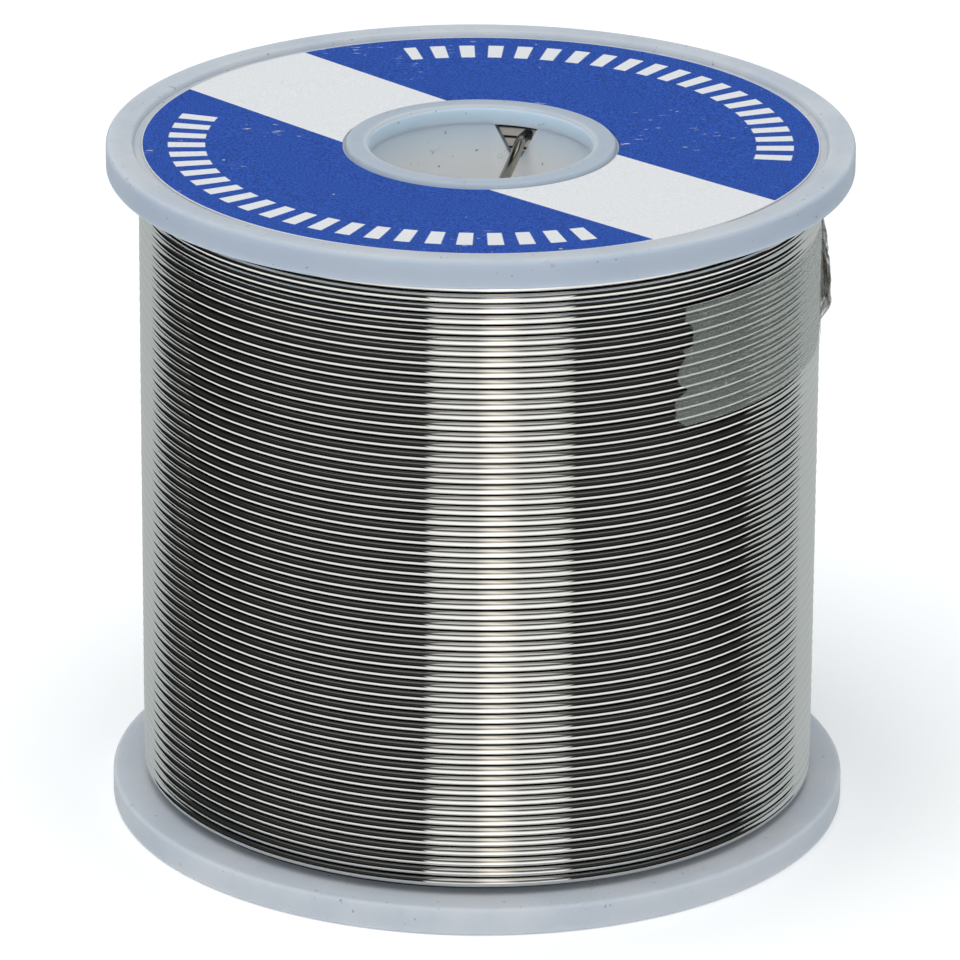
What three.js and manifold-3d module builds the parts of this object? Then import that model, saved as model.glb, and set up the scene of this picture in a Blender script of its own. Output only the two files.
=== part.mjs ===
// Spool of flux-cored solder wire: two moulded flanges on a moulded barrel, the wire wound on it in
// nested layers, a round paper label on the upper flange and a strip of clear tape over the wire's end.
// Millimetres, +Z up. The origin is the centre of the lower flange's outer face, on the spool's axis.
// Angles around the axis are measured from the front, -Y, towards the right, +X.

import * as THREE from "three";
import { mergeVertices } from "three/addons/utils/BufferGeometryUtils.js";
import Module from "manifold-3d";

const wasm = await Module();
wasm.setup();

// ---- Driving dimensions: the moulded spool ----
const FLANGE_RADIUS = 27.2;
const FLANGE_THICKNESS = 2.1;
const FLANGE_EDGE_ROUNDING = 0.3;
const WINDING_WIDTH = 47.0; // clear width between the two flanges
const BORE_RADIUS = 8.15;
const BORE_EDGE_ROUNDING = 0.35;
const BARREL_WALL = 1.6;
const RIM_LAND = 1.85; // width of the raised outer ring that the spool stands on
const HUB_LAND = 1.55; // width of the raised ring around the bore
const HUB_DROP = 0.3; // the hub's ring lies lower than the rim's, so the spool stands on its rim
const RECESS_DEPTH = 0.4; // the face between the two rings lies this much lower and takes the label
const RECESS_STEP = 0.2; // width of the sloping step at each side of the recess
const SOCKET_DEPTH = 0.4; // how far each end of the barrel enters its flange
const SOCKET_CLEARANCE = 0.05;

// ---- Driving dimensions: the starting notch in the barrel's upper end ----
const NOTCH_ANGLE = 161.5;
const NOTCH_MOUTH_WIDTH = 3.4;
const NOTCH_FOOT_WIDTH = 0.8;
const NOTCH_DEPTH = 2.4;

// ---- Driving dimensions: the wire and how it is wound ----
const WIRE_DIAMETER = 0.8;
const FLUX_CORE_DIAMETER = 0.3;
const FLUX_CORE_CLEARANCE = 0.02;
const LAYER_RISE = 0.68; // a layer nests in the valleys of the one below it
const RIM_STANDOUT = 2.3; // how far the flanges stand out past the full winding
const WINDING_CLEARANCE = 0.05; // between the barrel, the inner layers and the outer layer
const GROOVE_DEPTH = 0.22; // valley between two neighbouring turns

// ---- Driving dimensions: label and tape ----
const LABEL_THICKNESS = 0.1;
const LABEL_OUTER_MARGIN = 0.55; // bare recess left between its outer step and the label
const LABEL_HOLE_MARGIN = 0.15; // bare recess left between its inner step and the label's hole
const LABEL_CLEARANCE = 0.02;
const TAPE_WIDTH = 9.0;
const TAPE_DROP = 3.6; // from the upper flange's inner face down to the tape's upper edge
const TAPE_THICKNESS = 0.1;
const TAPE_CLEARANCE = 0.1;
const TAPE_FROM = 37;
const TAPE_TO = 168;
const TAPE_LIFT_FROM = 84; // from here to TAPE_LIFT_TO the tape runs over the wire's end
const TAPE_LIFT_TO = 130;
const TAPE_LIFT_RAMP = 5; // degrees over which the tape climbs onto the wire's end

// ---- Route of the wire's outer end, which crosses the outer layer and ends under the tape ----
// Each point is [degrees from the front, drop below the upper flange's inner face].
const OUTER_END_ROUTE = [
  [215, 0.8],
  [190, 1.0],
  [165, 1.5],
  [140, 2.3],
  [122, 3.2],
  [111, 4.3],
  [105, 5.6],
  [101, 7.2],
  [98, 9.0],
  [96, 11.0],
];

// ---- Route of the wire's free start, from the notch down inside the bore ----
// Each point is [inset from the bore's wall, degrees past the notch, drop below the upper inner face].
const START_TAIL_ROUTE = [
  [-1.2, -3.5, 0.5],
  [-0.6, -3.5, 0.5],
  [0.05, -3.4, 0.57],
  [0.64, -3.1, 0.94],
  [1.07, -2.3, 1.5],
  [1.4, -0.5, 2.2],
  [1.68, 3.3, 3.3],
  [1.84, 9.8, 5.0],
  [1.79, 17.6, 7.3],
  [1.66, 25.6, 10.1],
  [1.6, 32.6, 13.1],
  [1.61, 37.7, 16.1],
  [1.65, 40.2, 19.1],
  [1.71, 39.9, 22.1],
  [1.73, 37.1, 25.1],
  [1.7, 33.3, 28.1],
  [1.64, 30.9, 31.1],
  [1.61, 30.4, 33.1],
];

// ---- Sizes that follow from the driving dimensions ----
const BARREL_RADIUS = BORE_RADIUS + BARREL_WALL;
const LOWER_INNER_FACE = FLANGE_THICKNESS;
const UPPER_INNER_FACE = FLANGE_THICKNESS + WINDING_WIDTH;
const SPOOL_HEIGHT = UPPER_INNER_FACE + FLANGE_THICKNESS;
const FIRST_LAYER_RADIUS = BARREL_RADIUS + WINDING_CLEARANCE + WIRE_DIAMETER;
const LAYER_COUNT = 1 + Math.floor((FLANGE_RADIUS - RIM_STANDOUT - FIRST_LAYER_RADIUS) / LAYER_RISE);
const WINDING_RADIUS = FIRST_LAYER_RADIUS + (LAYER_COUNT - 1) * LAYER_RISE;
const OUTER_LAYER_FLOOR = WINDING_RADIUS - LAYER_RISE;
const TURNS_PER_LAYER = Math.floor(WINDING_WIDTH / WIRE_DIAMETER);
const WINDING_END_GAP = (WINDING_WIDTH - TURNS_PER_LAYER * WIRE_DIAMETER) / 2;
const RECESS_OUTER_RADIUS = FLANGE_RADIUS - RIM_LAND;
const RECESS_INNER_RADIUS = BORE_RADIUS + HUB_LAND;

// ---- Fineness of the round shapes ----
const FLANGE_SEGMENTS = 64;
const BARREL_SEGMENTS = 48;
const WINDING_SEGMENTS = 32;
const WIRE_ARC_DIVISIONS = 4; // three.js doubles this on a circle, so the wire has eight sides
const ROUNDING_STEPS = 2;

const FINISHES = {
  polypropylene: { color: 0xc3cad2, roughness: 0.5, metalness: 0 },
  paper: { color: 0x2d52a0, roughness: 0.6, metalness: 0 },
  solder: { color: 0xb9b7b1, roughness: 0.25, metalness: 1 },
  flux: { color: 0xb8833a, roughness: 0.3, metalness: 0 },
  tape: { color: 0xe4e6e2, roughness: 0.35, metalness: 0 },
};

// A named piece with a material of its own.
function piece(name, geometry, finish) {
  const mesh = new THREE.Mesh(geometry, new THREE.MeshStandardMaterial(FINISHES[finish]));
  mesh.name = name;
  return mesh;
}

// A closed profile of [radius, height] points turned about the Z axis; the points run anticlockwise.
function turned(profile, segments) {
  const outline = [...profile, profile[0]].map(([radius, height]) => new THREE.Vector2(radius, height));
  return new THREE.LatheGeometry(outline, segments).rotateX(Math.PI / 2);
}

// Points of a quarter-round corner, with the start and the quarter turn given in degrees.
function roundedCorner(radiusCentre, heightCentre, rounding, fromDegrees) {
  return Array.from({ length: ROUNDING_STEPS + 1 }, (_, step) => {
    const angle = THREE.MathUtils.degToRad(fromDegrees + (90 * step) / ROUNDING_STEPS);
    return [radiusCentre + rounding * Math.cos(angle), heightCentre + rounding * Math.sin(angle)];
  });
}

// A point at an angle from the front around the axis.
function around(radius, degrees, height) {
  const angle = THREE.MathUtils.degToRad(degrees);
  return new THREE.Vector3(radius * Math.sin(angle), -radius * Math.cos(angle), height);
}

// A closed geometry as a solid that can be cut.
function solidOf(geometry) {
  const bare = geometry.clone();
  bare.deleteAttribute("normal");
  bare.deleteAttribute("uv");
  const merged = mergeVertices(bare, 1e-4);
  const vertProperties = new Float32Array(merged.getAttribute("position").array);
  const triVerts = new Uint32Array(merged.index.array);
  return new wasm.Manifold(new wasm.Mesh({ numProp: 3, vertProperties, triVerts }));
}

// A cut solid as a geometry again.
function geometryOf(solid) {
  const { vertProperties, triVerts } = solid.getMesh();
  const geometry = new THREE.BufferGeometry();
  geometry.setAttribute("position", new THREE.BufferAttribute(vertProperties, 3));
  geometry.setIndex(new THREE.BufferAttribute(triVerts, 1));
  geometry.computeVertexNormals();
  return geometry;
}

// A round bar or tube along a smooth route.
function wireAlong(points, radius, steps, holeRadius = 0) {
  const section = new THREE.Shape().absarc(0, 0, radius, 0, 2 * Math.PI, false);
  if (holeRadius > 0) {
    section.holes.push(new THREE.Path().absarc(0, 0, holeRadius, 0, 2 * Math.PI, true));
  }
  return new THREE.ExtrudeGeometry(section, {
    steps,
    curveSegments: WIRE_ARC_DIVISIONS,
    bevelEnabled: false,
    extrudePath: new THREE.CatmullRomCurve3(points),
  });
}

// One flange with its rim on height 0 and its inner face above it. The outer face has a raised ring at
// the rim and another at the bore; the inner face has the socket that the barrel enters.
function flangeGeometry() {
  const socketRadius = BARREL_RADIUS + SOCKET_CLEARANCE;
  const rimCentre = FLANGE_RADIUS - FLANGE_EDGE_ROUNDING;
  const profile = [
    ...roundedCorner(BORE_RADIUS + BORE_EDGE_ROUNDING, HUB_DROP + BORE_EDGE_ROUNDING, BORE_EDGE_ROUNDING, 180),
    [RECESS_INNER_RADIUS, HUB_DROP],
    [RECESS_INNER_RADIUS + RECESS_STEP, recessHeight(RECESS_INNER_RADIUS + RECESS_STEP)],
    [RECESS_OUTER_RADIUS - RECESS_STEP, recessHeight(RECESS_OUTER_RADIUS - RECESS_STEP)],
    [RECESS_OUTER_RADIUS, 0],
    ...roundedCorner(rimCentre, FLANGE_EDGE_ROUNDING, FLANGE_EDGE_ROUNDING, 270),
    ...roundedCorner(rimCentre, FLANGE_THICKNESS - FLANGE_EDGE_ROUNDING, FLANGE_EDGE_ROUNDING, 0),
    [socketRadius, FLANGE_THICKNESS],
    [socketRadius, FLANGE_THICKNESS - SOCKET_DEPTH],
    [BORE_RADIUS, FLANGE_THICKNESS - SOCKET_DEPTH],
  ];
  return turned(profile, FLANGE_SEGMENTS);
}

// Height of the recessed face above the rim's plane at a radius: a shallow cone between the two rings.
function recessHeight(radius) {
  const share = (radius - RECESS_INNER_RADIUS) / (RECESS_OUTER_RADIUS - RECESS_INNER_RADIUS);
  return RECESS_DEPTH + HUB_DROP * (1 - share);
}

// The upper flange is the same moulding as the lower one, turned over about the front-to-back axis.
function upperFlange() {
  const flange = piece("upper_flange", flangeGeometry(), "polypropylene");
  flange.rotation.y = Math.PI;
  flange.position.z = SPOOL_HEIGHT;
  return flange;
}

// The wedge that cuts the starting notch: wide at the barrel's end and narrow at its foot.
function notchWedge(barrelEnd) {
  const halfMouth = NOTCH_MOUTH_WIDTH / 2;
  const halfFoot = NOTCH_FOOT_WIDTH / 2;
  const overrun = 1;
  const flare = ((halfMouth - halfFoot) * overrun) / NOTCH_DEPTH;
  const outline = new THREE.Shape([
    new THREE.Vector2(-halfFoot, -NOTCH_DEPTH),
    new THREE.Vector2(halfFoot, -NOTCH_DEPTH),
    new THREE.Vector2(halfMouth + flare, overrun),
    new THREE.Vector2(-halfMouth - flare, overrun),
  ]);
  const wedge = new THREE.ExtrudeGeometry(outline, { depth: BARREL_RADIUS + overrun, bevelEnabled: false });
  wedge.rotateX(Math.PI / 2); // the outline stands upright and the wedge runs out towards the front
  wedge.rotateZ(THREE.MathUtils.degToRad(NOTCH_ANGLE));
  wedge.translate(0, 0, barrelEnd);
  return wedge;
}

function barrel() {
  const lowerEnd = LOWER_INNER_FACE - SOCKET_DEPTH;
  const upperEnd = UPPER_INNER_FACE + SOCKET_DEPTH;
  const tube = turned(
    [
      [BORE_RADIUS, lowerEnd],
      [BARREL_RADIUS, lowerEnd],
      [BARREL_RADIUS, upperEnd],
      [BORE_RADIUS, upperEnd],
    ],
    BARREL_SEGMENTS,
  );
  return piece("barrel", geometryOf(solidOf(tube).subtract(solidOf(notchWedge(upperEnd)))), "polypropylene");
}

// All layers but the last, as the solid ring that they fill.
function innerLayers() {
  const bottom = LOWER_INNER_FACE + WINDING_END_GAP;
  const top = UPPER_INNER_FACE - WINDING_END_GAP;
  const inner = BARREL_RADIUS + WINDING_CLEARANCE;
  const outer = OUTER_LAYER_FLOOR - WINDING_CLEARANCE;
  const ring = [
    [inner, bottom],
    [outer, bottom],
    [outer, top],
    [inner, top],
  ];
  return piece("inner_wire_layers", turned(ring, WINDING_SEGMENTS), "solder");
}

// The last layer, with a crest for each turn and a valley between neighbours.
function outerLayer() {
  const bottom = LOWER_INNER_FACE + WINDING_END_GAP;
  const top = UPPER_INNER_FACE - WINDING_END_GAP;
  const crests = [];
  for (let turn = 0; turn < TURNS_PER_LAYER; turn++) {
    const foot = bottom + turn * WIRE_DIAMETER;
    crests.push([WINDING_RADIUS - GROOVE_DEPTH, foot], [WINDING_RADIUS, foot + WIRE_DIAMETER / 2]);
  }
  const profile = [
    [OUTER_LAYER_FLOOR, bottom],
    ...crests,
    [WINDING_RADIUS - GROOVE_DEPTH, top],
    [OUTER_LAYER_FLOOR, top],
  ];
  return piece("outer_wire_layer", turned(profile, WINDING_SEGMENTS), "solder");
}

// The wire's free start: the alloy sheath, and the flux core inside it.
function startTail() {
  const route = START_TAIL_ROUTE.map(([inset, turn, drop]) =>
    around(BORE_RADIUS - inset, NOTCH_ANGLE + turn, UPPER_INNER_FACE - drop),
  );
  const steps = 44;
  const coreRadius = FLUX_CORE_DIAMETER / 2;
  const sheath = wireAlong(route, WIRE_DIAMETER / 2, steps, coreRadius + FLUX_CORE_CLEARANCE);
  const core = wireAlong(route, coreRadius, steps);
  return [piece("wire_start_tail", sheath, "solder"), piece("start_tail_flux_core", core, "flux")];
}

// The wire's outer end: it comes off the last turn, runs down across the outer layer and is cut there.
function outerEnd() {
  const radius = WINDING_RADIUS + TAPE_CLEARANCE + WIRE_DIAMETER / 2;
  const steps = 36;
  const unrolled = new THREE.SplineCurve(OUTER_END_ROUTE.map(([degrees, drop]) => new THREE.Vector2(degrees, drop)));
  const route = unrolled.getPoints(steps).map(({ x, y }) => around(radius, x, UPPER_INNER_FACE - y));
  return piece("wire_outer_end", wireAlong(route, WIRE_DIAMETER / 2, steps), "solder");
}

// The label lies in the recess of the upper flange and follows its shallow cone.
function label() {
  const inner = RECESS_INNER_RADIUS + RECESS_STEP + LABEL_HOLE_MARGIN;
  const outer = RECESS_OUTER_RADIUS - RECESS_STEP - LABEL_OUTER_MARGIN;
  const faceAt = (radius, lift) => [radius, SPOOL_HEIGHT - recessHeight(radius) + lift];
  const ring = [
    faceAt(inner, LABEL_CLEARANCE),
    faceAt(outer, LABEL_CLEARANCE),
    faceAt(outer, LABEL_CLEARANCE + LABEL_THICKNESS),
    faceAt(inner, LABEL_CLEARANCE + LABEL_THICKNESS),
  ];
  return piece("top_label", turned(ring, FLANGE_SEGMENTS), "paper");
}

// How high the tape stands over the winding at an angle: it climbs over the wire's end.
function tapeLift(degrees) {
  const climb = THREE.MathUtils.smoothstep(degrees, TAPE_LIFT_FROM, TAPE_LIFT_FROM + TAPE_LIFT_RAMP);
  const fall = THREE.MathUtils.smoothstep(degrees, TAPE_LIFT_TO - TAPE_LIFT_RAMP, TAPE_LIFT_TO);
  return (WIRE_DIAMETER + TAPE_CLEARANCE) * (climb - fall);
}

// The strip of clear tape around part of the winding.
function tape() {
  const stations = 52;
  const step = (TAPE_TO - TAPE_FROM) / stations;
  const angles = Array.from({ length: stations + 1 }, (_, index) => TAPE_FROM + index * step);
  const innerRadius = (degrees) => WINDING_RADIUS + TAPE_CLEARANCE + tapeLift(degrees);
  const flat = (radius, degrees) => {
    const { x, y } = around(radius, degrees, 0);
    return new THREE.Vector2(x, y);
  };
  const outside = angles.map((degrees) => flat(innerRadius(degrees) + TAPE_THICKNESS, degrees));
  const inside = angles.map((degrees) => flat(innerRadius(degrees), degrees)).reverse();
  const band = new THREE.ExtrudeGeometry(new THREE.Shape([...outside, ...inside]), {
    depth: TAPE_WIDTH,
    bevelEnabled: false,
  });
  band.translate(0, 0, UPPER_INNER_FACE - TAPE_DROP - TAPE_WIDTH);
  return piece("tape_strip", band, "tape");
}

const spoolBody = new THREE.Group();
spoolBody.add(piece("lower_flange", flangeGeometry(), "polypropylene"), barrel(), upperFlange(), label());

const wire = new THREE.Group();
wire.add(innerLayers(), outerLayer(), ...startTail(), outerEnd());

const solderSpool = new THREE.Group();
solderSpool.add(spoolBody, wire, tape());

export default solderSpool;
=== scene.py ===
"""Looks of a spool of flux-cored solder wire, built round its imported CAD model.

Lengths are in metres; a name that ends in _mm is in millimetres and one that ends in _deg in degrees.
The spool stands on the floor at height 0 with its axis on Z. Angles around the axis are measured from
the front, -Y, towards the right, +X. A finish's share says how much of something shows, its fade where
something begins and ends, and its relief how strong and how high a bump is.
"""

from __future__ import annotations

import logging
import math
from collections.abc import Iterator, Sequence
from contextlib import contextmanager
from dataclasses import dataclass, field
from enum import Enum
from functools import reduce

import bpy
import numpy as np
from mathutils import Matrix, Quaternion, Vector, noise

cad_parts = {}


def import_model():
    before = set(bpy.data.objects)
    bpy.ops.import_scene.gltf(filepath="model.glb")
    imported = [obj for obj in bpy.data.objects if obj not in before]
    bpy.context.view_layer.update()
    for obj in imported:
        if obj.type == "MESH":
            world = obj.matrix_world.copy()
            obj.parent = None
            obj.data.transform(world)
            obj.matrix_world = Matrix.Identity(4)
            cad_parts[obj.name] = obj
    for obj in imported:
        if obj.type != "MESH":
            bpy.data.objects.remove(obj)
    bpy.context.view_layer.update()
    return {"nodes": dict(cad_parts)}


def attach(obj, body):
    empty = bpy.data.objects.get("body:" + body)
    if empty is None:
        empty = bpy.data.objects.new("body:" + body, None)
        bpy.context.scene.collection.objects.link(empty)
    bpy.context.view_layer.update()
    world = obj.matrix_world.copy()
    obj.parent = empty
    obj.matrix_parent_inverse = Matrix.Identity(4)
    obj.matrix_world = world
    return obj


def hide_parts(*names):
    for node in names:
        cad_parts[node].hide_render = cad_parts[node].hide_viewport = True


MM = 0.001
BODY = "root"
LOG = logging.getLogger("solder_spool")

Colour = tuple[float, float, float, float]
Triple = tuple[float, float, float]
Point = tuple[float, float]


class Slot(Enum):
    """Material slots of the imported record."""

    PLASTIC = "spool_plastic"
    PAPER = "label_paper"
    SOLDER = "solder_wire"
    FLUX = "flux"
    TAPE = "clear_tape"


# ---------------------------------------------------------------- small helpers


def linear(red: float, green: float, blue: float) -> Colour:
    """A display colour as linear light.

    Args:
        red: display red, 0 to 255.
        green: display green, 0 to 255.
        blue: display blue, 0 to 255.

    Returns:
        Linear red, green, blue and an alpha of 1.
    """
    toe, slope, offset, gamma = 0.04045, 12.92, 0.055, 2.4
    light = []
    for part in (red / 255, green / 255, blue / 255):
        light.append(part / slope if part <= toe else ((part + offset) / (1 + offset)) ** gamma)
    return (light[0], light[1], light[2], 1.0)


def around(radius: float, degrees: float, height: float) -> Vector:
    """A point at a radius and an angle from the front, at a height."""
    angle = math.radians(degrees)
    return Vector((radius * math.sin(angle), -radius * math.cos(angle), height))


def all_around(radius: np.ndarray, degrees: np.ndarray, height: np.ndarray) -> np.ndarray:
    """Rows of x, y, z at radii, angles from the front and heights."""
    angle = np.radians(degrees)
    return np.stack([radius * np.sin(angle), -radius * np.cos(angle), height], axis=1)


def degrees_of(rows: np.ndarray) -> np.ndarray:
    """The angle of each row of x, y, z from the front, from 0 to 360 degrees."""
    return np.degrees(np.arctan2(rows[:, 0], -rows[:, 1])) % 360


def smooth(value: np.ndarray | float, low: float, high: float) -> np.ndarray:
    """A smooth step of a value from 0 at low to 1 at high."""
    share = np.clip((np.asarray(value, float) - low) / (high - low), 0, 1)
    return share * share * (3 - 2 * share)


def select_only(obj: bpy.types.Object) -> None:
    """Makes one object active and the only one selected.

    Args:
        obj: the object.
    """
    bpy.ops.object.select_all(action="DESELECT")
    obj.select_set(True)
    bpy.context.view_layer.objects.active = obj


def settled(obj: bpy.types.Object) -> bpy.types.Object:
    """Moves an object's place, turn and scale into its mesh.

    Args:
        obj: the object.

    Returns:
        The same object.
    """
    select_only(obj)
    bpy.ops.object.transform_apply(location=True, rotation=True, scale=True)
    return obj


def added(name: str) -> bpy.types.Object:
    """Names and settles the primitive just added.

    Args:
        name: its name.

    Returns:
        The object.
    """
    obj = bpy.context.object
    obj.name = obj.data.name = name
    return settled(obj)


@contextmanager
def editing(obj: bpy.types.Object) -> Iterator[None]:
    """Edit mode on one object with everything in it selected.

    Args:
        obj: the mesh object to edit.

    Yields:
        Nothing; edit mode ends with the block.
    """
    select_only(obj)
    bpy.ops.object.mode_set(mode="EDIT")
    bpy.ops.mesh.select_all(action="SELECT")
    try:
        yield
    finally:
        bpy.ops.object.mode_set(mode="OBJECT")


def apply_modifier(obj: bpy.types.Object, kind: str, **settings: object) -> None:
    """Adds one modifier with its settings and applies it.

    Args:
        obj: the object that takes the modifier.
        kind: the modifier's type.
        **settings: the modifier's properties by name.
    """
    select_only(obj)
    modifier = obj.modifiers.new(kind.title(), kind)
    for key, value in settings.items():
        setattr(modifier, key, value)
    bpy.ops.object.modifier_apply(modifier=modifier.name)


def vertices_of(obj: bpy.types.Object) -> np.ndarray:
    """The vertices of a mesh.

    Args:
        obj: the mesh object.

    Returns:
        Rows of x, y, z.
    """
    flat = np.zeros(len(obj.data.vertices) * 3)
    obj.data.vertices.foreach_get("co", flat)
    return flat.reshape(-1, 3)


def put_vertices(obj: bpy.types.Object, rows: np.ndarray) -> None:
    """Writes rows of x, y, z back to a mesh."""
    obj.data.vertices.foreach_set("co", np.ascontiguousarray(rows, float).ravel())
    obj.data.update()


def put_uv(obj: bpy.types.Object, places: np.ndarray) -> None:
    """Writes a mesh's UV map.

    Args:
        obj: the mesh object, with a map already in it.
        places: the two coordinates of each vertex.
    """
    index = np.zeros(len(obj.data.loops), int)
    obj.data.loops.foreach_get("vertex_index", index)
    obj.data.uv_layers[0].data.foreach_set("uv", places[index].astype(np.float32).ravel())


def turned(name: str, profile: Sequence[Point], segments: int, crease_deg: float = 40) -> bpy.types.Object:
    """A closed profile spun about the spool's axis.

    Args:
        name: the piece's name.
        profile: radius and height of each point, in metres.
        segments: steps around the axis.
        crease_deg: edges sharper than this stay sharp.

    Returns:
        The closed mesh, with faces that point outwards.
    """
    seed_size = 0.1 * MM
    weld = 0.002 * MM
    bpy.ops.object.select_all(action="DESELECT")
    bpy.ops.mesh.primitive_plane_add(size=seed_size, location=(profile[0][0], 0, profile[0][1]))
    obj = added(name)
    with editing(obj):
        bpy.ops.mesh.merge(type="CENTER")
        last = profile[0]
        for point in [*profile[1:], profile[0]]:
            move = (point[0] - last[0], 0, point[1] - last[1])
            bpy.ops.mesh.extrude_vertices_move(TRANSFORM_OT_translate={"value": move})
            last = point
        bpy.ops.mesh.select_all(action="SELECT")
        bpy.ops.mesh.remove_doubles(threshold=weld)
        bpy.ops.mesh.spin(steps=segments, angle=2 * math.pi, center=(0, 0, 0), axis=(0, 0, 1))
        bpy.ops.mesh.select_all(action="SELECT")
        bpy.ops.mesh.remove_doubles(threshold=weld)
        bpy.ops.mesh.normals_make_consistent(inside=False)
    bpy.ops.object.shade_smooth_by_angle(angle=math.radians(crease_deg))
    return obj


def rounded_corner(centre: Point, rounding: float, from_deg: float, steps: int = 6) -> list[Point]:
    """Points of a quarter-round corner of a profile.

    Args:
        centre: radius and height of the corner's centre.
        rounding: the corner's radius.
        from_deg: direction of its first point, anticlockwise from outwards.
        steps: how many straight pieces it has.

    Returns:
        The points in order.
    """
    angles = [math.radians(from_deg + 90 * step / steps) for step in range(steps + 1)]
    return [(centre[0] + rounding * math.cos(a), centre[1] + rounding * math.sin(a)) for a in angles]


def smooth_path(knots: Sequence[Vector], per_knot: int) -> np.ndarray:
    """Points on a smooth curve through knots.

    Args:
        knots: the points that the curve passes.
        per_knot: how many points it gets from one knot to the next.

    Returns:
        The curve's points as rows of x, y, z.
    """
    rows = np.array([tuple(k) for k in knots], float)
    padded = np.vstack([2 * rows[0] - rows[1], rows, 2 * rows[-1] - rows[-2]])
    points = []
    for index in range(1, len(padded) - 2):
        a, b, c, d = padded[index - 1 : index + 3]
        for step in range(per_knot):
            t = step / per_knot
            curve = 2 * b + (c - a) * t + (2 * a - 5 * b + 4 * c - d) * t**2 + (3 * b - a - 3 * c + d) * t**3
            points.append(curve / 2)
    points.append(rows[-1])
    return np.array(points)


def path_frames(path: np.ndarray) -> tuple[np.ndarray, np.ndarray]:
    """Two directions across a path at each of its points, which turn as little as they can.

    Args:
        path: the path's points.

    Returns:
        The first and the second direction at each point.
    """
    ahead = np.gradient(path, axis=0)
    ahead /= np.linalg.norm(ahead, axis=1)[:, None]
    first = np.zeros_like(path)
    side = np.cross(ahead[0], (0, 0, 1))
    for index, direction in enumerate(ahead):
        side = side - direction * side.dot(direction)
        side /= np.linalg.norm(side)
        first[index] = side
    return first, np.cross(ahead, first)


def drawn_wire(name: str, path: np.ndarray, diameter: float, sides: int = 12) -> bpy.types.Object:
    """A round wire along a path.

    Args:
        name: the piece's name.
        path: the points of its centreline.
        diameter: the wire's diameter.
        sides: how many sides its section has.

    Returns:
        The closed mesh.
    """
    crease_deg = 50
    rings = len(path)
    along = np.concatenate([[0], np.cumsum(np.linalg.norm(np.diff(path, axis=0), axis=1))])
    bpy.ops.object.select_all(action="DESELECT")
    bpy.ops.mesh.primitive_circle_add(vertices=sides, radius=diameter / 2)
    obj = added(name)
    steps = {"steps": rings - 1, "render_steps": rings - 1}
    apply_modifier(obj, "SCREW", angle=0, screw_offset=along[-1], axis="Z", **steps)
    section = vertices_of(obj).reshape(rings, sides, 3)[0, :, :2]
    first, second = path_frames(path)
    rows = path[:, None] + section[None, :, :1] * first[:, None] + section[None, :, 1:] * second[:, None]
    put_vertices(obj, rows.reshape(-1, 3))
    with editing(obj):
        bpy.ops.mesh.select_all(action="DESELECT")
        bpy.ops.mesh.select_non_manifold(extend=False)
        bpy.ops.mesh.fill_holes(sides=0)
        bpy.ops.mesh.select_all(action="SELECT")
        bpy.ops.mesh.normals_make_consistent(inside=False)
    bpy.ops.object.shade_smooth_by_angle(angle=math.radians(crease_deg))
    return obj


def finished(obj: bpy.types.Object, node: str | None, finish: Finish) -> bpy.types.Object:
    """Dresses a piece, ties it to the spool's body and reports it.

    Args:
        obj: the piece.
        node: the CAD node that it stands for, if any.
        finish: its finish.

    Returns:
        The same piece.
    """
    finish.dress(obj)
    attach(obj, BODY)
    if node:
        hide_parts(node)
    LOG.info("%s: %d faces, stands for %s", obj.name, len(obj.data.polygons), node or "nothing")
    return obj


# ---------------------------------------------------------------- node graphs and finishes


@dataclass(frozen=True)
class Grain:
    """A noise: one scale or three, its detail and roughness, and the limits of a smooth step on it."""

    scale: float | tuple[float, float, float]
    detail: float = 2
    rough: float = 0.5
    limits: Point | None = None


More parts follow.
